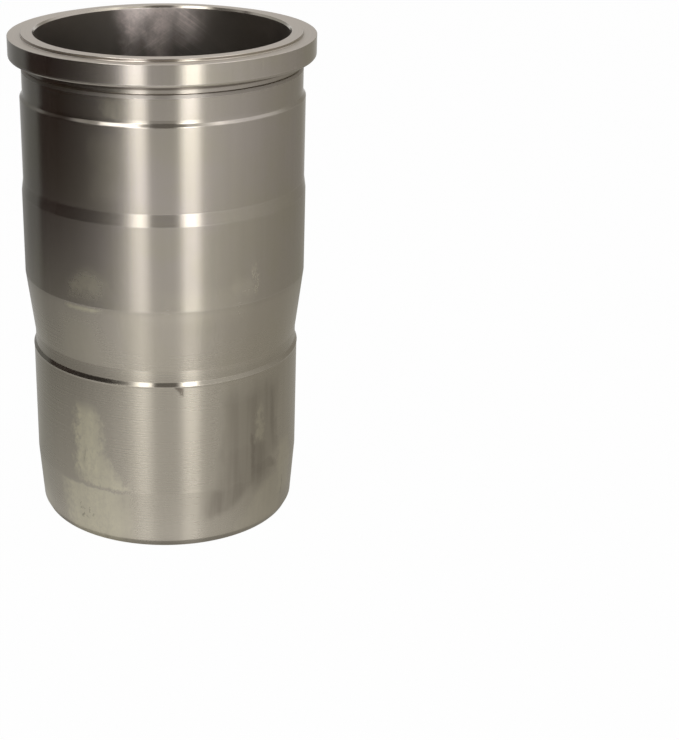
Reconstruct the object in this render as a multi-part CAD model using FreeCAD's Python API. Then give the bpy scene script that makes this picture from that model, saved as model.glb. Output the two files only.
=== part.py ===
"""Flanged wet cylinder liner of a heavy diesel engine, turned from one casting.

The liner stands on its lower end. Its axis is +Z, and the origin is the centre of that lower end.
Going up, the outside has a lead-in taper, the lower seal land, a small ledge, a waist, a long taper,
the main land, a short cone, the upper land, the neck, a relief groove and the flange.
"""
import FreeCAD, Part
import os

# All sizes are in millimetres. Heights of zones run along the axis, steps and walls run radially.

# Bore
bore_diameter = 131.0
mouth_chamfer_width = 0.75
mouth_chamfer_height = 1.3
bore_end_chamfer = 0.4

# Raised ring round the mouth of the bore, which the head gasket closes on
ring_wall = 6.7
ring_height = 1.5
ring_edge_chamfer = 0.2

# Flange that hangs in the engine block
neck_wall = 7.1
flange_overhang = 6.45
flange_thickness = 10.9
flange_top_chamfer = 0.3
flange_lower_chamfer_width = 0.55
flange_lower_chamfer_height = 1.4

# Relief groove between the flange and the neck
groove_height = 5.8
groove_depth = 1.1

# Neck, and the step that leads in to the upper land
neck_height = 13.2
upper_land_step = 1.35
upper_land_lead_in = 1.2
upper_land_edge_width = 0.15
upper_land_edge_height = 0.35

# Upper land, and the cone that widens to the main land
upper_land_height = 42.95
main_land_step = 0.82
cone_height = 6.3

# Main land, which the coolant seals run up to
main_land_height = 44.3

# Long taper down to the waist
taper_height = 33.4
taper_drop = 4.14
waist_height = 6.3

# Ledge below the waist, with a slightly proud lip
ledge_height = 2.0
ledge_step = 1.0
ledge_lip_width = 0.2
ledge_lip_height = 1.0

# Lower seal land, and the taper, chamfer and edge break that lead it into the block
lower_land_height = 60.0
bottom_taper_height = 28.65
bottom_taper_drop = 2.16
bottom_chamfer_height = 3.2
bottom_chamfer_width = 1.66
bottom_edge_break = 0.45

# Radii that follow from the bore, the walls and the steps
bore_radius = bore_diameter / 2
ring_radius = bore_radius + ring_wall
neck_radius = bore_radius + neck_wall
flange_radius = neck_radius + flange_overhang
groove_radius = neck_radius - groove_depth
upper_land_radius = neck_radius + upper_land_step
main_land_radius = upper_land_radius + main_land_step
waist_radius = main_land_radius - taper_drop
lower_land_radius = waist_radius + ledge_step
lip_radius = lower_land_radius + ledge_lip_width
bottom_taper_radius = lower_land_radius - bottom_taper_drop
bottom_chamfer_radius = bottom_taper_radius - bottom_chamfer_width
bottom_radius = bottom_chamfer_radius - bottom_edge_break

# Heights above the lower end, stacked zone by zone
bottom_chamfer_foot = bottom_edge_break
bottom_taper_foot = bottom_chamfer_foot + bottom_chamfer_height
lower_land_foot = bottom_taper_foot + bottom_taper_height
lip_foot = lower_land_foot + lower_land_height
lip_top = lip_foot + ledge_lip_height
ledge_foot = lip_top + ledge_height
waist_top = ledge_foot + waist_height
main_land_foot = waist_top + taper_height
main_land_top = main_land_foot + main_land_height
upper_land_foot = main_land_top + cone_height
upper_land_top = upper_land_foot + upper_land_height
neck_foot = upper_land_top + upper_land_edge_height + upper_land_lead_in
neck_top = neck_foot + neck_height
groove_floor_foot = neck_top + groove_depth
flange_underside = neck_top + groove_height
flange_top = flange_underside + flange_thickness
ring_top = flange_top + ring_height


def outside_corners():
    """Corners of the outside, radius and height, from the lower end up to the mouth."""
    return [
        (bottom_radius, 0.0),
        (bottom_chamfer_radius, bottom_chamfer_foot),
        (bottom_taper_radius, bottom_taper_foot),
        (lower_land_radius, lower_land_foot),
        (lower_land_radius, lip_foot),
        (lip_radius, lip_top),
        (waist_radius, ledge_foot),
        (waist_radius, waist_top),
        (main_land_radius, main_land_foot),
        (main_land_radius, main_land_top),
        (upper_land_radius, upper_land_foot),
        (upper_land_radius, upper_land_top),
        (upper_land_radius - upper_land_edge_width, upper_land_top + upper_land_edge_height),
        (neck_radius, neck_foot),
        (neck_radius, neck_top),
        (groove_radius, groove_floor_foot),
        (groove_radius, flange_underside),
        (flange_radius - flange_lower_chamfer_width, flange_underside),
        (flange_radius, flange_underside + flange_lower_chamfer_height),
        (flange_radius, flange_top - flange_top_chamfer),
        (flange_radius - flange_top_chamfer, flange_top),
        (ring_radius, flange_top),
        (ring_radius, ring_top - ring_edge_chamfer),
        (ring_radius - ring_edge_chamfer, ring_top),
    ]


def bore_corners():
    """Corners of the bore, radius and height, from the mouth down to the lower end."""
    return [
        (bore_radius + mouth_chamfer_width, ring_top),
        (bore_radius, ring_top - mouth_chamfer_height),
        (bore_radius, bore_end_chamfer),
        (bore_radius + bore_end_chamfer, 0.0),
    ]


def half_section():
    """Closed face of the wall, in the plane of the axis."""
    corners = outside_corners() + bore_corners()
    places = [FreeCAD.Vector(radius, 0, height) for radius, height in corners]
    return Part.Face(Part.makePolygon(places + places[:1]))


def cylinder_liner():
    """The section turned once round the axis."""
    foot = FreeCAD.Vector(0, 0, 0)
    upwards = FreeCAD.Vector(0, 0, 1)
    return half_section().revolve(foot, upwards, 360)


def main():
    os.makedirs("parts", exist_ok=True)
    liner = cylinder_liner()
    liner.exportStep("parts/cylinder_liner.step")
    print("height", round(ring_top, 2), "flange diameter", round(2 * flange_radius, 2))
    print("solids", len(liner.Solids), "valid", liner.isValid(), "volume", round(liner.Volume))


main()
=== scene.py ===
import math

import bpy
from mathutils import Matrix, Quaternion, Vector


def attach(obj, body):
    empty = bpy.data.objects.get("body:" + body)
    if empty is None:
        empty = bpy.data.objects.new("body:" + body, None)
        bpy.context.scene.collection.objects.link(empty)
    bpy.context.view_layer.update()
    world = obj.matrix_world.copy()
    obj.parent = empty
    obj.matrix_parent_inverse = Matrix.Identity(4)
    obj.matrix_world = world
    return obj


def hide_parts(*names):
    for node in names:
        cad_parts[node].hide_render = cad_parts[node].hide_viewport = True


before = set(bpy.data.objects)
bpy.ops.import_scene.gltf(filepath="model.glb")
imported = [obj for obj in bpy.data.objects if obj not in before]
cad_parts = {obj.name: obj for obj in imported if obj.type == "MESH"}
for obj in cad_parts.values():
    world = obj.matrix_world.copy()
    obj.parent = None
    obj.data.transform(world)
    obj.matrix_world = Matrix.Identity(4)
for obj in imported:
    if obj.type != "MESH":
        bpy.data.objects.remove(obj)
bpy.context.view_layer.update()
print("Frame loaded:", sorted(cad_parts))

perMetre = 1000     # the sleeve's sizes and the heights on it are in millimetres


class Wire:
    # An output socket that can be written in plain expressions.
    def __init__(self, finish, socket):
        self.finish = finish
        self.socket = socket

    def beside(self, output):
        # another output of the same node
        return Wire(self.finish, self.socket.node.outputs[output])

    def __add__(self, other):
        return self.finish.maths("ADD", self, other)

    def __radd__(self, other):
        return self.finish.maths("ADD", other, self)

    def __sub__(self, other):
        return self.finish.maths("SUBTRACT", self, other)

    def __rsub__(self, other):
        return self.finish.maths("SUBTRACT", other, self)

    def __mul__(self, other):
        return self.finish.maths("MULTIPLY", self, other)

    def __rmul__(self, other):
        return self.finish.maths("MULTIPLY", other, self)

    def __truediv__(self, other):
        return self.finish.maths("DIVIDE", self, other)

    def __rtruediv__(self, other):
        return self.finish.maths("DIVIDE", other, self)


class Finish:
    # The nodes of a material or of the world. Every node comes from the one method node().
    def __init__(self, owner):
        owner.use_nodes = True
        self.owner = owner
        self.tree = owner.node_tree
        self.tree.nodes.clear()

    def node(self, kind, settings=None, inputs=None, result=0):
        made = self.tree.nodes.new(kind)
        for name, value in (settings or {}).items():
            if name == "stops":
                self.setStops(made.color_ramp, value)
            else:
                setattr(made, name, value)
        for name, value in (inputs or {}).items():
            if isinstance(value, Wire):
                self.tree.links.new(value.socket, made.inputs[name])
            else:
                made.inputs[name].default_value = value
        return Wire(self, made.outputs[result]) if made.outputs else made

    def setStops(self, ramp, stops):
        # stops are (place, grey level); a new ramp has two elements, for the first and the last of them
        ramp.elements[0].position = stops[0][0]
        ramp.elements[1].position = stops[-1][0]
        for place, grey in stops[1:-1]:
            ramp.elements.new(place)
        for element, (place, grey) in zip(ramp.elements, stops):
            element.color = (grey, grey, grey, 1.0)

    def maths(self, operation, first, second):
        return self.node("ShaderNodeMath", {"operation": operation}, {0: first, 1: second})

    def ease(self, value, low, high):
        # 0 below low, 1 above high, smooth between them
        return self.node("ShaderNodeMapRange", {"interpolation_type": "SMOOTHSTEP"},
                         {"Value": value, "From Min": low, "From Max": high})

    def between(self, value, low, high, soft):
        return self.ease(value, low, low + soft) * (1 - self.ease(value, high - soft, high))

    def mixColour(self, share, first, second):
        return self.node("ShaderNodeMix", {"data_type": "RGBA"}, {0: share, 6: first, 7: second}, 2)

    def scaleColour(self, colour, scale):
        return self.node("ShaderNodeVectorMath", {"operation": "SCALE"}, {0: colour, "Scale": scale})

    def mixShader(self, share, first, second):
        return self.node("ShaderNodeMixShader", {}, {0: share, 1: first, 2: second})

    def grain(self, place, cells, detail, roughness):
        # noise with its own number of cells per metre along each axis
        scaled = self.node("ShaderNodeVectorMath", {"operation": "MULTIPLY"}, {0: place, 1: cells})
        return self.node("ShaderNodeTexNoise", {},
                         {"Vector": scaled, "Scale": 1.0, "Detail": detail, "Roughness": roughness})

    def toolLines(self, along, scale, detail, roughness):
        # noise that changes along one measure only, as a lathe's marks do
        return self.node("ShaderNodeTexNoise", {"noise_dimensions": "1D"},
                         {"W": along, "Scale": scale, "Detail": detail, "Roughness": roughness})

    def bareMetal(self, looks, colour, metallic, rough, bumps):
        relief = self.node("ShaderNodeBump", {}, {"Height": bumps, "Distance": looks["bumpHeight"],
                                                  "Strength": looks["bumpStrength"]})
        metal = self.node("ShaderNodeBsdfPrincipled", {}, {
            "Base Color": colour, "Metallic": metallic, "Roughness": rough, "Normal": relief,
            "Anisotropic": looks["brushed"], "Anisotropic Rotation": 0.25})     # a quarter turn
        self.surface(metal)
        return self.owner

    def surface(self, shader):
        world = isinstance(self.owner, bpy.types.World)
        self.node("ShaderNodeOutputWorld" if world else "ShaderNodeOutputMaterial", {}, {"Surface": shader})


def newFinish(name):
    return Finish(bpy.data.materials.new(name))


sleeve = {
    "turns": 384,       # faces round the sleeve
    "arcSteps": 3,      # faces across each rounded edge
    "mostReach": 0.45,  # share of the shorter side that a rounding may take up
    # Corners of the section in millimetres: radius, height above the lower end, rounding of the edge.
    "corners": [
        (65.90, 0.00, 0.10), (67.36, 0.00, 0.30), (67.81, 0.45, 0.20), (69.47, 3.65, 1.20),
        (71.63, 32.30, 1.20), (71.63, 92.30, 0.80), (71.83, 93.30, 0.45), (70.63, 95.30, 0.40),
        (70.63, 101.60, 1.60), (74.77, 135.00, 1.00), (74.77, 179.30, 1.00), (73.95, 185.60, 1.00),
        (73.95, 228.60, 0.15), (73.80, 228.95, 0.15), (72.72, 230.40, 1.20), (72.60, 232.00, 3.00),
        (72.60, 242.60, 0.50), (72.40, 244.15, 0.20), (71.50, 244.55, 0.20), (71.50, 249.10, 0.60),
        (78.40, 249.10, 0.15), (78.90, 249.75, 0.20), (79.05, 250.50, 0.30),
        (79.05, 259.86, 0.05), (78.91, 260.00, 0.05), (72.20, 260.00, 0.50), (72.20, 261.30, 0.10),
        (72.00, 261.50, 0.10), (66.25, 261.50, 0.15), (65.50, 260.20, 0.20), (65.50, 0.40, 0.20),
    ],
    "boreRadius": 65.60,    # upright faces inside this radius are the bore
    "topHeight": 259.95,    # level faces above this height are the faced top
    "upright": 0.5,         # the normals of upright faces rise less than this
    "level": 0.9,           # the normals of level faces rise more than this
}


def roundedSection(data):
    # Points and outward normals of the closed section, with each corner rounded off.
    points = []
    corners, steps = data["corners"], data["arcSteps"]
    for i in range(len(corners)):
        corner = Vector(corners[i][:2])
        before = Vector(corners[i - 1][:2]) - corner
        after = Vector(corners[(i + 1) % len(corners)][:2]) - corner
        half = before.angle(after) / 2
        reach = corners[i][2] / math.tan(half)
        reach = min(reach, data["mostReach"] * before.length, data["mostReach"] * after.length)
        radius = reach * math.tan(half)
        start = corner + before.normalized() * reach
        end = corner + after.normalized() * reach
        inward = (before.normalized() + after.normalized()).normalized()
        centre = corner + inward * (radius / math.sin(half))
        startNormal = Vector((-before.y, before.x)).normalized()
        endNormal = Vector((after.y, -after.x)).normalized()
        for step in range(steps + 1):
            share = step / steps
            normal = startNormal.lerp(endNormal, share).normalized()
            bow = (start - centre).lerp(end - centre, share).normalized() * radius
            points.append((centre + bow, normal))
    return points


def finishAt(data, middle, rise):
    # which of the three finishes a band of the section has: 0 for the wall, 1 the bore, 2 the top
    if middle.x < data["boreRadius"] and abs(rise) < data["upright"]:
        return 1
    if middle.y > data["topHeight"] and rise > data["level"]:
        return 2
    return 0


def turnedSleeve(data, finishes):
    section = roundedSection(data)
    turns = data["turns"]
    places, normals, faces, kinds = [], [], [], []
    for point, normal in section:
        for turn in range(turns):
            angle = 2 * math.pi * turn / turns
            across, along = math.cos(angle), math.sin(angle)
            places.append((point.x * across / perMetre, point.x * along / perMetre, point.y / perMetre))
            normals.append((normal.x * across, normal.x * along, normal.y))
    for ring in range(len(section)):
        following = (ring + 1) % len(section)
        middle = (section[ring][0] + section[following][0]) / 2
        rise = (section[ring][1] + section[following][1]).normalized().y
        kind = finishAt(data, middle, rise)
        for turn in range(turns):
            nextTurn = (turn + 1) % turns
            faces.append((ring * turns + turn, ring * turns + nextTurn,
                          following * turns + nextTurn, following * turns + turn))
            kinds.append(kind)
    mesh = bpy.data.meshes.new("sleeve")
    mesh.from_pydata(places, [], faces)
    for finish in finishes:
        mesh.materials.append(finish)
    mesh.polygons.foreach_set("material_index", kinds)
    mesh.polygons.foreach_set("use_smooth", [True] * len(faces))
    mesh.normals_split_custom_set_from_vertices(normals)
    piece = bpy.data.objects.new("sleeve", mesh)
    bpy.context.scene.collection.objects.link(piece)
    return piece


def readPlace(finish, side=-1):
    # The point itself, its azimuth in degrees and its height in millimetres. The azimuth is 0 on the
    # camera's side, or at the back with side=1, and grows to the right of the picture.
    place = finish.node("ShaderNodeTexCoord", result="Object")
    x = finish.node("ShaderNodeSeparateXYZ", {}, {0: place})
    y, z = x.beside(1), x.beside(2)
    return place, finish.maths("ARCTAN2", x, y * side) * math.degrees(1), z * perMetre


def most(masks):
    # the strongest of several masks at each point
    result = masks[0]
    for mask in masks[1:]:
        result = mask.finish.maths("MAXIMUM", result, mask)
    return result


def patchMask(finish, around, height, patch):
    leftFoot, leftTop, rightFoot, rightTop, foot, top, softRound, softUp, strength = patch
    rise = (height - foot) / (top - foot)
    left = around - leftFoot - rise * (leftTop - leftFoot)
    right = around - rightFoot - rise * (rightTop - rightFoot)
    across = finish.ease(left, 0, softRound) * (1 - finish.ease(right, -softRound, 0))
    return across * finish.between(height, foot, top, softUp) * strength


def openGaps(finish, mask, grains, gaps):
    # thins a mask where its grains are low
    for grain, (least, low, high) in gaps.items():
        mask = mask * (least + (1 - least) * finish.ease(grains[grain], low, high))
    return mask


def stainMask(finish, around, height, grains, stain):
    # The strongest patch of a stain at each point, with frayed edges and gaps.
    ragged, mottle = grains["ragged"] - 0.5, grains["mottle"] - 0.5
    (raggedRound, raggedUp), (tornRound, tornUp) = stain["ragged"], stain["torn"]
    around = around + ragged * raggedRound + mottle * tornRound
    height = height + ragged * raggedUp + mottle * tornUp
    mask = most([patchMask(finish, around, height, patch) for patch in stain["patches"]])
    return openGaps(finish, mask, grains, stain["gaps"])


wallLooks = {
    "iron": (0.43, 0.389, 0.350, 1),
    "ironWarm": (0.43, 0.394, 0.322, 1),        # olive cast of the lower half
    "film": (0.84, 0.784, 0.595, 1),            # dried preserving oil
    # colour of grime, and of the painted shade in the groove under the flange
    "dirtAndShade": (0.16, 0.135, 0.11, 1),
    "wornAndSheen": (0.62, 0.57, 0.52, 1),              # edges rubbed bright with a painted highlight on them, and the painted highlight on the groove's rim
    "lowerHalf": (90.0, 215.0),                 # heights over which the lower half's finish runs out
    "warmth": 0.8,                              # most of the olive cast anywhere
    "warmLow": 0.9,                             # share of it on the lower half
    "warmCloud": (0.35, 0.65),                  # levels of the cloud with all of it and with none

    "roughness": 0.235,
    "lowerRoughness": 0.275,
    "filmRoughness": 0.31,
    "facetRoughness": 0.14,                     # fine turned chamfers, which reflect more sharply
    "unevenRoughness": 0.02,
    "dirtAndShadeRoughness": 0.1,                      # added under grime and under the painted shade in the groove
    "rimRoughness": 0.25,                       # added on the rim of the groove
    "filmDullness": 0.2,                        # what film and facets take off the metallic look
    "facetDullness": 0.08,
    "bumpHeight": 0.00001,                      # metres
    "bumpStrength": 0.5,
    "brushed": 1.0,                             # stretches highlights across the tool's marks

    "turningLines": (0.9, 3.0, 0.6),            # lines per millimetre of height, detail, roughness
    # Grains: cells per metre along each axis, detail, roughness.
    "grains": {
        "streaks": ((420.0, 420.0, 5.0), 2.0, 0.6),     # left by grinding, packed tight round the wall
        "ribs": ((950.0, 950.0, 4.0), 1.0, 0.5),        # on the flange
        "cloud": ((28.0, 28.0, 22.0), 3.0, 0.55),
        "ragged": ((110.0, 110.0, 70.0), 3.0, 0.6),
        "mottle": ((420.0, 420.0, 300.0), 3.0, 0.7),
        "drips": ((170.0, 170.0, 12.0), 2.0, 0.55),
    },
    "tone": 0.91,                               # of the bare metal, before its marks
    "marks": {"lines": 0.05, "streaks": 0.08, "cloud": 0.07, "ribs": 0.11, "taper": 0.07},
    "ribbed": (249.0, 250.0),                   # heights over which the ribs begin
    "taper": (97.0, 135.0, 4.0),                # painted light that makes the taper paler: foot, top, soft edge

    # Edges rubbed bright with a painted highlight on them, and facets turned fine, in millimetres of
    # height.
    "edges": (259.85, 250.6, 228.8, 185.6, 179.3, 135.0, 93.2),
    "edgeReach": 0.35,
    "edgeSoft": 0.3,
    "edgeCloud": (0.3, 0.6),                    # levels of the cloud that show the rubbing and its painted highlight
    "edgeShine": 0.35,
    "rim": (242.4, 244.4, 0.3),                 # rough rim of the groove, with a painted highlight: foot, top, soft edge
    "rimShine": 0.6,
    "facets": [(93.5, 95.2, 0.15), (228.95, 230.3, 0.15), (260.1, 261.5, 0.15)],

    # Stains are made of patches: azimuth of the left edge at the foot and the top, the same of the
    # right edge, height of the foot and the top, soft edge in degrees and in mm, strength.
    # The ragged grain moves their edges by so many degrees and mm, and the mottled grain tears them.
    # Gaps open where a grain is low: the least share that stays, and the grain's levels where the
    # stain is least and where it is full.
    "films": [
        {"ragged": (8, 4), "torn": (9, 3.6), "gaps": {}, "patches": [
            (-45.5, -44, -24, -28, 33, 82, 6, 10, 1.0), (-43, -43, -13, -26, 31.8, 55, 7, 2, 0.75),
            (-54, -56, -12, -14, -8, 31.6, 12, 1.5, 0.66), (-48, -36, -20, -21, 134.9, 159, 8, 12, 0.46),
            (-10, -10, 40, 40, 124, 150, 12, 10, 0.10), (18, 45, 66, 66, -8, 31, 8, 4, 0.15),
            (40, 40, 48, 45, 50, 78, 3, 8, 0.42), (-52, -52, -22, -24, 98, 134, 12, 12, 0.13),
            (36.3, 36.3, 38.8, 38.4, 135.5, 160, 1.2, 8, 0.32), (25, 26, 38, 37, 135, 153, 3, 8, 0.16),
            (55, 54, 73, 70, 10, 50, 4, 8, 0.22), (-84, -82, -60, -62, -8, 31.6, 9, 2, 0.20),
            (-84, -84, -64, -66, 31.6, 62, 8, 12, 0.12), (-33, -33, -13, -13, 187, 228.6, 9, 10, 0.17),
            (-27, -27, -14, -14, 230, 243.5, 6, 3, 0.34)]},
        {"ragged": (3, 0), "torn": (0, 0), "gaps": {}, "patches": [
            (-43, -45, -27, -22, 130.8, 134.9, 5, 2.2, 0.85)]},         # sliver along the taper's edge
    ],
    "filmGaps": {"mottle": (0.74, 0.36, 0.6), "drips": (0.84, 0.35, 0.6), "cloud": (0.86, 0.4, 0.6)},
    "grimes": [
        {"ragged": (8, 12), "torn": (0, 0), "gaps": {"drips": (0.6, 0.38, 0.66)}, "patches": [
            (35.5, 36, 42.5, 41, 31.8, 66, 2.5, 8, 0.62), (36, 37, 56, 53, 31.8, 44, 3, 4, 0.58),
            (49, 48, 58, 53, 40, 88, 3, 10, 0.46), (20, 22, 52, 60, 32, 92, 5, 14, 0.38),
            (17, 21, 53, 54, 22, 62, 8, 12, 0.50), (9, 15, 27, 52, 13, 37, 9, 7, 0.54),
            (61, 62, 62.6, 63.6, 11, 28, 0.8, 4, 0.5)]},
        {"ragged": (4, 9), "torn": (0, 0), "gaps": {"mottle": (0, 0.3, 0.5)}, "patches": [
            (5.4, 1.8, 7.9, 7.5, 87.6, 93.4, 1.4, 1.2, 1.0)]},          # smudge under the ledge
        {"ragged": (8, 12), "torn": (0, 0), "gaps": {"mottle": (0, 0.56, 0.62)}, "patches": [
            (-42, -42, -33, -33, 10, 23, 2, 3, 0.5)]},                  # specks on the lead-in
        {"ragged": (8, 12), "torn": (0, 0), "gaps": {"mottle": (0, 0.4, 0.56)}, "patches": [
            (-39.5, -38.5, -37, -36, 42, 54, 1.2, 4, 0.34)]},           # strokes in the film
    ],
    "dirtAndShadeStrength": 0.85,
    "paintedGrooveShade": [(246.0, 246.9), (249.0, 249.2)],    # heights where the painted shade in the groove, just under the flange, begins and ends
}


def wallFinish(looks):
    finish = newFinish("groundWall")
    place, around, height = readPlace(finish)
    grains = {name: finish.grain(place, *grain) for name, grain in looks["grains"].items()}
    lines = finish.toolLines(height, *looks["turningLines"])
    cloud = grains["cloud"]

    film = most([stainMask(finish, around, height, grains, stain) for stain in looks["films"]])
    film = openGaps(finish, film, grains, looks["filmGaps"])
    grimes = [stainMask(finish, around, height, grains, stain) for stain in looks["grimes"]]
    # the band added last is painted shade in the groove, just under the flange
    begin, end = looks["paintedGrooveShade"]
    dirtAndShade = most(grimes + [finish.ease(height, *begin) * (1 - finish.ease(height, *end))])
    rim = finish.between(height, *looks["rim"])
    facet = most([finish.between(height, *facet) for facet in looks["facets"]])
    reach, soft = looks["edgeReach"], looks["edgeSoft"]
    # rubbed edges, lightened further with a painted highlight
    rubbedAndSheen = most([finish.between(height, edge - reach, edge + reach, soft) for edge in looks["edges"]])
    rubbedAndSheen = rubbedAndSheen * finish.ease(cloud, *looks["edgeCloud"])
    low = 1 - finish.ease(height, *looks["lowerHalf"])

    warm = most([low * looks["warmLow"], 1 - finish.ease(cloud, *looks["warmCloud"])])
    colour = finish.mixColour(warm * looks["warmth"], looks["iron"], looks["ironWarm"])
    marks = {"lines": lines, "streaks": grains["streaks"], "cloud": cloud,
             "ribs": grains["ribs"] * finish.ease(height, *looks["ribbed"]),
             "taper": finish.between(height, *looks["taper"])}
    # the taper's mark is painted light
    shade = looks["tone"] + sum(share * marks[mark] for mark, share in looks["marks"].items())
    colour = finish.scaleColour(colour, shade)
    # rubbed edges with their painted highlight, and the painted highlight on the groove's rim
    bright = most([rubbedAndSheen * looks["edgeShine"], rim * looks["rimShine"]])
    colour = finish.mixColour(bright, colour, looks["wornAndSheen"])
    colour = finish.mixColour(film, colour, looks["film"])
    # grime, and painted shade in the groove under the flange
    colour = finish.mixColour(dirtAndShade * looks["dirtAndShadeStrength"], colour, looks["dirtAndShade"])

    rough = (looks["roughness"] + (looks["lowerRoughness"] - looks["roughness"]) * low
             + looks["unevenRoughness"] * (cloud - 0.5) + looks["unevenRoughness"] * (lines - 0.5)
             + film * (looks["filmRoughness"] - looks["roughness"]) + dirtAndShade * looks["dirtAndShadeRoughness"])
    rough = rough + facet * (looks["facetRoughness"] - rough) + rim * looks["rimRoughness"]
    metallic = 1 - film * looks["filmDullness"] - facet * looks["facetDullness"]
    return finish.bareMetal(looks, colour, metallic, rough, grains["streaks"])


boreLooks = {
    "iron": (0.268, 0.241, 0.213),
    # colour of the painted highlight on the back of the bore, its scratches and its hatch
    "wornAndSheen": (0.85, 0.745, 0.70, 1),
    "roughness": 0.37,
    "cloudRoughness": 0.10,
    "scratchRoughness": 0.04,           # taken off on a scratch
    "bumpHeight": 0.00002,
    "bumpStrength": 0.6,
    "brushed": 0.3,

    # Grains: cells per metre along each axis, detail, roughness.
    "cloud": ((90.0, 90.0, 80.0), 4.0, 0.65),
    "hatchFine": ((1100.0, 1100.0, 60.0), 2.0, 0.7),
    "hatchCoarse": ((650.0, 650.0, 45.0), 2.0, 0.6),
    "hatchTwist": 22.6,                 # radians per metre of height: the angle that the hone travels at
    "hatchShine": (1.0, 1.3, 0.03),     # levels of the two fine hatches together, strength

    # Scratches of the two hands of the coarse hatch: levels of the grain, strength. Those of the second
    # hand show most on the right: the least share that stays, and the azimuths over which they grow.
    "scratches": [(0.54, 0.66, 0.4), (0.5, 0.66, 0.8)],
    "marked": (0.4, 2.0, 12.0),

    # Painted highlight on the back of the bore, by azimuth from the back. The bands are its brightest
    # parts: middle and half width, strength.
    "bands": [(-15.5, 8.0, 0.74), (-2.0, 9.0, 0.9), (15.5, 8.0, 0.06)],
    "bandStray": 6,                     # degrees that the cloud moves their edges by
    "sheenZone": (-28.0, 26.0, 12.0),    # left, right and soft edge of the whole zone of painted highlight
    "zoneLevel": (0.75, 0.009),         # painted highlight between the bands, and what it loses per degree
    "underBands": 0.8,                  # share of that painted highlight that the bands take the place of
    "bandDepth": (216.0, 256.0, 14),    # heights where a band ends and is full, mm that it strays
    "zoneDepth": (236.0, 261.0, 10),    # the same for the painted highlight between the bands
    "cloudy": (0.75, 0.5, 0.35, 0.65),  # least painted highlight, what the cloud adds, the cloud's levels
    "scratched": (0.85, 0.3, 0.05),     # painted highlight off the scratches, more on them, and some painted glint on the scratches by themselves
    "shadow": (150.0, 225.0, 0.42),     # heights over which the zone's plain metal darkens, how much
}


def boreFinish(looks):
    finish = newFinish("honedBore")
    place, around, height = readPlace(finish, 1)
    cloud = finish.grain(place, *looks["cloud"])
    fine, coarse = [], []
    for twist in (looks["hatchTwist"], -looks["hatchTwist"]):
        turned = finish.node("ShaderNodeVectorRotate", {"rotation_type": "Z_AXIS"},
                             {"Vector": place, "Angle": height * (twist / perMetre)})
        fine.append(finish.grain(turned, *looks["hatchFine"]))
        coarse.append(finish.grain(turned, *looks["hatchCoarse"]))
    hatch = fine[0] + fine[1]
    least, start, full = looks["marked"]
    marked = least + (1 - least) * finish.ease(around, start, full)
    first, second = (finish.ease(grain, low, high) * strength
                     for grain, (low, high, strength) in zip(coarse, looks["scratches"]))
    scratches = most([first, second * marked])

    zone = finish.between(around, *looks["sheenZone"])
    strayed = around + (cloud - 0.5) * looks["bandStray"]
    bands = sum(finish.between(strayed, middle - half, middle + half, half) * strength
                for middle, half, strength in looks["bands"])
    deep, shallow = (finish.ease(height + (cloud - 0.5) * stray, low, high)
                     for low, high, stray in (looks["bandDepth"], looks["zoneDepth"]))
    level, loss = looks["zoneLevel"]
    shallow = shallow * (level - around * loss)
    least, more, low, high = looks["cloudy"]
    # painted highlight on the back of the bore, brightest in the bands
    paintedSheen = zone * (shallow + bands * (deep - shallow * looks["underBands"]))
    paintedSheen = paintedSheen * (least + more * finish.ease(cloud, low, high))
    off, on, alone = looks["scratched"]
    low, high, strength = looks["hatchShine"]
    share = (paintedSheen * (off + on * scratches) + zone * scratches * alone
             + strength * finish.ease(hatch, low, high))
    low, high, shadow = looks["shadow"]
    plain = finish.scaleColour(looks["iron"], 1 - shadow * zone * finish.ease(height, low, high))
    colour = finish.mixColour(share, plain, looks["wornAndSheen"])

    rough = (looks["roughness"] + looks["cloudRoughness"] * (cloud - 0.5)
             - looks["scratchRoughness"] * scratches)
    return finish.bareMetal(looks, colour, 1.0, rough, hatch + coarse[0] + coarse[1])


topLooks = {
    "iron": (0.400, 0.356, 0.307),
    "tone": 0.78,                               # of the bare metal, before its marks
    "marks": {"lines": 0.2, "grit": 0.16, "cloud": 0.08},
    "roughness": 0.50,
    "gritRoughness": 0.08,
    "cloudRoughness": 0.06,
    "facingLines": (1300.0, 3.0, 0.7),          # lines per metre of radius, detail, roughness
    "grit": ((900.0, 900.0, 900.0), 3.0, 0.7),  # grains: cells per metre, detail, roughness
    "cloud": ((45.0, 45.0, 45.0), 3.0, 0.6),
    "gritBumps": 0.6,                           # beside the lines' own
    "bumpHeight": 0.00003,
    "bumpStrength": 0.6,
    "brushed": 0.4,
}


def topFinish(looks):
    finish = newFinish("facedTop")
    place = finish.node("ShaderNodeTexCoord", result="Object")
    flat = finish.node("ShaderNodeVectorMath", {"operation": "MULTIPLY"}, {0: place, 1: (1, 1, 0)})
    radius = finish.node("ShaderNodeVectorMath", {"operation": "LENGTH"}, {0: flat}, "Value")
    marks = {"lines": finish.toolLines(radius, *looks["facingLines"]),
             "grit": finish.grain(place, *looks["grit"]),
             "cloud": finish.grain(place, *looks["cloud"])}
    shade = looks["tone"] + sum(share * marks[mark] for mark, share in looks["marks"].items())
    rough = (looks["roughness"] + looks["gritRoughness"] * (marks["grit"] - 0.5)
             + looks["cloudRoughness"] * (marks["cloud"] - 0.5))
    return finish.bareMetal(looks, finish.scaleColour(looks["iron"], shade), 1.0, rough,
                            marks["lines"] + looks["gritBumps"] * marks["grit"])


liner = turnedSleeve(sleeve, [wallFinish(wallLooks), boreFinish(boreLooks), topFinish(topLooks)])
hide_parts("cylinder_liner")
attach(liner, "root")
print("Sleeve turned:", len(liner.data.polygons), "faces")


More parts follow.
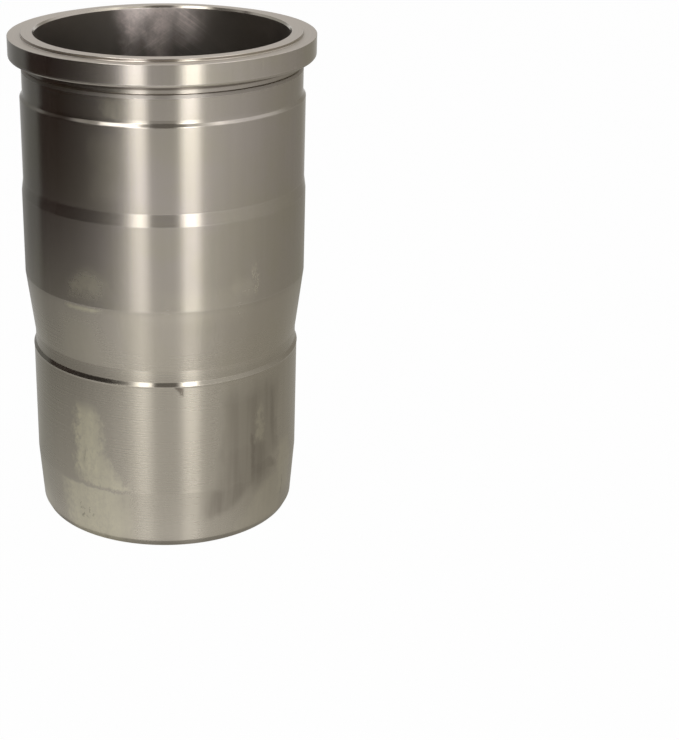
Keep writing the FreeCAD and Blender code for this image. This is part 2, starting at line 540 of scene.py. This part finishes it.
studio = {
    "floorSize": 6.0,
    "floorColour": (0.95, 0.95, 0.95),
    "whiteShare": 0.985,    # how much of the floor is plain white, the rest shows the shadow
    "skyLevel": 0.3,
    "centre": (0.0, 0.0, 0.15),
    "cardColumns": 36,
    "screenRows": 12,
    "matRows": 8,
    "matGap": 0.0002,       # each mat lies this much above the one before it
    # Screens stand round the liner and only reflections see them. The veil says how dense a screen is
    # at each azimuth, which is 0 towards the camera and grows to the right. Elevation gives the foot,
    # and the top edge at its left and its right end. Fade is how soft the foot and the top are, in
    # degrees.
    "screens": {
        "leftFlag": {
            "veil": [(-112, 0), (-106, 0.97), (-84, 1.0), (-70, 0.975), (-64, 0.95), (-58, 0.91),
                     (-52, 0.86), (-46, 0.77), (-40, 0.65), (-35, 0.48), (-30, 0.32), (-24, 0.12),
                     (-18, 0.0)],
            "elevation": (-21, 60, 26), "distance": 0.42, "shade": (0.027, 0.016, 0.013), "fade": (3, 7)},
        "upperFlag": {
            "veil": [(-86, 0), (-74, 0.74), (-62, 0.92), (-46, 0.94), (-38, 0.88), (-31, 0.68),
                     (-26, 0.38), (-20, 0)],
            "elevation": (-5, 44, 24), "distance": 0.41, "shade": (0.016, 0.011, 0.009), "fade": (11, 7)},
        "browFlag": {
            "veil": [(-104, 0), (-92, 0.9), (-70, 0.97), (-62, 0.7), (-56, 0.0)],
            "elevation": (40, 72, 66), "distance": 0.45, "shade": (0.10, 0.092, 0.085), "fade": (12, 5)},
        "backLeft": {
            "veil": [(-170, 0), (-154, 0.75), (-130, 0.95), (-110, 1.0), (-104, 1.0), (-98, 0)],
            "elevation": (-18, 34, 58), "distance": 0.6, "shade": (0.15, 0.155, 0.15), "fade": (3, 26)},
        "frontScreen": {
            "veil": [(-13, 0), (-9, 1.0), (9, 1.0), (13, 0)],
            "elevation": (-8, 60, 60), "distance": 1.0, "shade": (0.22, 0.21, 0.20), "fade": (4, 8)},
        "topScreen": {
            "veil": [(-26, 0), (-20, 1.0), (20, 1.0), (26, 0)],
            "elevation": (48, 84, 84), "distance": 1.1, "shade": (0.20, 0.19, 0.18), "fade": (6, 6)},
        "rightScreen": {
            "veil": [(26, 0), (34, 0.26), (42, 0.36), (54, 0.46), (66, 0.56), (78, 0.68), (90, 0.78),
                     (102, 0.85), (120, 0.95), (138, 1.0), (154, 0.8), (170, 0)],
            "elevation": (-22, 45, 35), "distance": 0.5, "shade": (0.34, 0.325, 0.29), "fade": (6, 10)},
        "leftStrip": {
            "veil": [(-35, 0), (-30, 0.3), (-27, 0.55), (-24, 0.85), (-20, 1.0), (-17, 1.0),
                     (-14, 0.65), (-11.5, 0.1), (-10, 0)],
            "elevation": (-1, 38, 38), "distance": 1.25, "shade": (4.8, 4.8, 4.8), "fade": (2, 3)},
        "rightStrip": {
            "veil": [(9.5, 0), (12.5, 0.15), (14.5, 0.6), (17, 0.97), (19, 1.0), (23.5, 1.0),
                     (26, 0.72), (28, 0.3), (30.5, 0.04), (33, 0)],
            "elevation": (-1, 38, 38), "distance": 1.25, "shade": (6.1, 6.1, 6.1), "fade": (2, 3)},
    },
    # Mats lie on the floor, from an inner to an outer reach in metres, with a fade in metres too.
    "mats": {
        # painted contact shadow: a dark mat round the foot that only reflections see
        "footShadowMat": {
            "veil": [(-180, 0.8), (180, 0.8)],
            "reach": (0.0655, 0.0745), "shade": (0.20, 0.19, 0.17), "fade": (0.001, 0.004)},
        "leftMat": {
            "veil": [(-180, 0.5), (-150, 0.58), (-132, 0.85), (-114, 1.0), (-96, 0.89), (-84, 0.77),
                     (-72, 0.68), (-60, 0.50), (-48, 0.38), (-36, 0.28), (-24, 0.17), (-10, 0)],
            "reach": (0.069, 0.44), "shade": (0.45, 0.45, 0.425), "fade": (0.008, 0.02)},
        "farLeftMat": {
            "veil": [(-180, 0.6), (-150, 0.8), (-132, 0.93), (-116, 1.0), (-84, 1.0), (-66, 0.85),
                     (-48, 0.65), (-36, 0.4), (-24, 0.1), (-18, 0)],
            "reach": (0.31, 0.64), "shade": (0.15, 0.15, 0.145), "fade": (0.13, 0.02)},
        "frontMat": {
            "veil": [(-35, 0), (-20, 0.38), (14, 0.38), (24, 0.5), (40, 0)],
            "reach": (0.08, 0.45), "shade": (0.60, 0.59, 0.56), "fade": (0.03, 0.15)},
        "rightMat": {
            "veil": [(10, 0), (24, 0.35), (36, 0.55), (48, 0.74), (60, 0.82), (72, 0.9), (108, 0.92),
                     (132, 0.84), (150, 0.72), (180, 0.6)],
            "reach": (0.068, 0.5), "shade": (0.40, 0.385, 0.34), "fade": (0.004, 0.15)},
        "farRightMat": {
            "veil": [(24, 0), (36, 0.2), (48, 0.42), (60, 0.55), (72, 0.66), (84, 0.77), (96, 0.87),
                     (120, 0.97), (138, 0.95), (150, 0.85), (180, 0.6)],
            "reach": (0.28, 0.64), "shade": (0.36, 0.35, 0.31), "fade": (0.08, 0.02)},
        # painted shade: a dark mat on the floor inside the bore that only reflections see
        "boreShadowMat": {
            "veil": [(-180, 1.0), (180, 1.0)],
            "reach": (0.0, 0.066), "shade": (0.30, 0.275, 0.245), "fade": (0, 0)},
    },
    # Soft lamps: azimuth, elevation and distance of the middle, width and height in metres, radiance.
    "lamps": {
        "upperLeft": {"azimuth": -46, "elevation": 61, "distance": 0.9, "size": (0.36, 0.32), "level": 3.5},
        "upperRight": {"azimuth": 72, "elevation": 61, "distance": 1.1, "size": (0.5, 0.4), "level": 1.35},
    },
}


def direction(azimuth, elevation):
    a, e = math.radians(azimuth), math.radians(elevation)
    return Vector((math.sin(a) * math.cos(e), -math.cos(a) * math.cos(e), math.sin(e)))


def spread(limits, steps):
    return [limits[0] + (limits[1] - limits[0]) * step / steps for step in range(steps + 1)]


def seenByMirrors(finish):
    # 1 for a ray from the camera, or one that metal or glass sends on
    seen = finish.node("ShaderNodeLightPath", result="Is Camera Ray")
    return most([seen, seen.beside("Is Glossy Ray"), seen.beside("Is Transmission Ray")])


def makeFloor(data):
    half = data["floorSize"] / 2
    mesh = bpy.data.meshes.new("floor")
    mesh.from_pydata([(-half, -half, 0), (half, -half, 0), (half, half, 0), (-half, half, 0)], [],
                     [(0, 1, 2, 3)])
    finish = newFinish("paleFloor")
    paper = finish.node("ShaderNodeBsdfDiffuse", {}, {"Color": (*data["floorColour"], 1.0)})
    white = finish.node("ShaderNodeEmission", {}, {"Color": (1, 1, 1, 1), "Strength": 1.0})
    above = finish.mixShader(seenByMirrors(finish) * data["whiteShare"], paper, white)
    clear = finish.node("ShaderNodeBsdfTransparent")
    below = finish.node("ShaderNodeNewGeometry", result="Backfacing")
    finish.surface(finish.mixShader(below, above, clear))
    mesh.materials.append(finish.owner)
    floor = bpy.data.objects.new("floor", mesh)
    bpy.context.scene.collection.objects.link(floor)


def makeSky(data):
    sky = Finish(bpy.data.worlds.new("sky"))
    bpy.context.scene.world = sky.owner
    dim = sky.node("ShaderNodeBackground", {}, {"Color": (1, 1, 1, 1), "Strength": data["skyLevel"]})
    white = sky.node("ShaderNodeBackground", {}, {"Color": (1, 1, 1, 1), "Strength": 1.0})
    sky.surface(sky.mixShader(seenByMirrors(sky), dim, white))


def cardFinish(name, card, high):
    # A plain card, as dense as its veil says at each azimuth, that fades out at its foot and its top.
    # High is how far the top is from the foot, in the unit of the fade.
    finish = newFinish(name)
    across = finish.node("ShaderNodeSeparateXYZ", {}, {0: finish.node("ShaderNodeTexCoord", result="UV")})
    up = across.beside(1)
    first, last = card["veil"][0][0], card["veil"][-1][0]
    stops = [((azimuth - first) / (last - first), dense) for azimuth, dense in card["veil"]]
    share = finish.node("ShaderNodeValToRGB", {"stops": stops}, {0: across})
    for reading, width in zip((up, 1 - up), card["fade"]):
        if width > 0:
            share = share * finish.ease(reading, 0.0, width / high)
    shade = finish.node("ShaderNodeEmission", {}, {"Color": (*card["shade"], 1), "Strength": 1.0})
    clear = finish.node("ShaderNodeBsdfTransparent")
    finish.surface(finish.mixShader(share, clear, shade))
    return finish.owner


def makeCard(name, rows, finish):
    # rows of points make a sheet that only reflections see
    width = len(rows[0])
    points = [point for row in rows for point in row]
    faces = [(r * width + c, r * width + c + 1, (r + 1) * width + c + 1, (r + 1) * width + c)
             for r in range(len(rows) - 1) for c in range(width - 1)]
    mesh = bpy.data.meshes.new(name)
    mesh.from_pydata(points, [], faces)
    layer = mesh.uv_layers.new(name="spread")
    for loop in mesh.loops:
        row, column = divmod(loop.vertex_index, width)
        layer.data[loop.index].uv = (column / (width - 1), row / (len(rows) - 1))
    mesh.materials.append(finish)
    card = bpy.data.objects.new(name, mesh)
    bpy.context.scene.collection.objects.link(card)
    card.visible_camera = False
    card.visible_diffuse = False
    card.visible_shadow = False
    card.visible_transmission = False


def makeScreen(name, card, data):
    foot, topLeft, topRight = card["elevation"]
    sides = (card["veil"][0][0], card["veil"][-1][0])
    azimuths = spread(sides, data["cardColumns"])
    tops = spread((topLeft, topRight), data["cardColumns"])
    rows = [[Vector(data["centre"]) + direction(azimuth, foot + (top - foot) * rise) * card["distance"]
             for azimuth, top in zip(azimuths, tops)] for rise in spread((0, 1), data["screenRows"])]
    makeCard(name, rows, cardFinish(name, card, (topLeft + topRight) / 2 - foot))


def makeMat(name, mat, lift, data):
    sides = (mat["veil"][0][0], mat["veil"][-1][0])
    rows = [[direction(azimuth, 0) * reach + Vector((0, 0, lift))
             for azimuth in spread(sides, data["cardColumns"])]
            for reach in spread(mat["reach"], data["matRows"])]
    makeCard(name, rows, cardFinish(name, mat, mat["reach"][1] - mat["reach"][0]))


def makeLamp(name, lamp, centre):
    light = bpy.data.lights.new(name, "AREA")
    light.shape = "RECTANGLE"
    light.size, light.size_y = lamp["size"]
    light.energy = lamp["level"] * math.pi * lamp["size"][0] * lamp["size"][1]
    made = bpy.data.objects.new(name, light)
    out = direction(lamp["azimuth"], lamp["elevation"])
    made.location = Vector(centre) + out * lamp["distance"]
    made.rotation_mode = "QUATERNION"
    made.rotation_quaternion = out.to_track_quat("Z", "Y")
    made.visible_camera = False
    bpy.context.scene.collection.objects.link(made)


makeFloor(studio)
makeSky(studio)
for name, card in studio["screens"].items():
    makeScreen(name, card, studio)
for order, (name, mat) in enumerate(studio["mats"].items()):
    makeMat(name, mat, studio["matGap"] * (order + 1), studio)
for name, lamp in studio["lamps"].items():
    makeLamp(name, lamp, studio["centre"])
print("Studio lit:", len(studio["lamps"]), "lamps")


view = {
    "place": (0.0, -0.85212, 0.42834),
    "turn": 1.594,      # degrees to the right of straight ahead
    "tip": 22.642,      # degrees below level
    "roll": -0.061,
    "lens": 81.11,
    "sensor": 36.0,
    "shift": 0.1764,    # the liner stands left of the middle of the picture
    "clip": (0.01, 50.0),
}


def makeCamera(data):
    lens = bpy.data.cameras.new("camera")
    lens.lens = data["lens"]
    lens.sensor_width = data["sensor"]
    lens.shift_x = data["shift"]
    lens.clip_start, lens.clip_end = data["clip"]
    camera = bpy.data.objects.new("camera", lens)
    camera.location = data["place"]
    camera.rotation_mode = "QUATERNION"
    camera.rotation_quaternion = (Quaternion((0, 0, 1), math.radians(-data["turn"]))
                                  @ Quaternion((1, 0, 0), math.radians(90 - data["tip"]))
                                  @ Quaternion((0, 0, 1), math.radians(data["roll"])))
    bpy.context.scene.collection.objects.link(camera)
    bpy.context.scene.camera = camera


makeCamera(view)
bpy.context.scene.view_settings.view_transform = "Standard"
print("Camera placed")
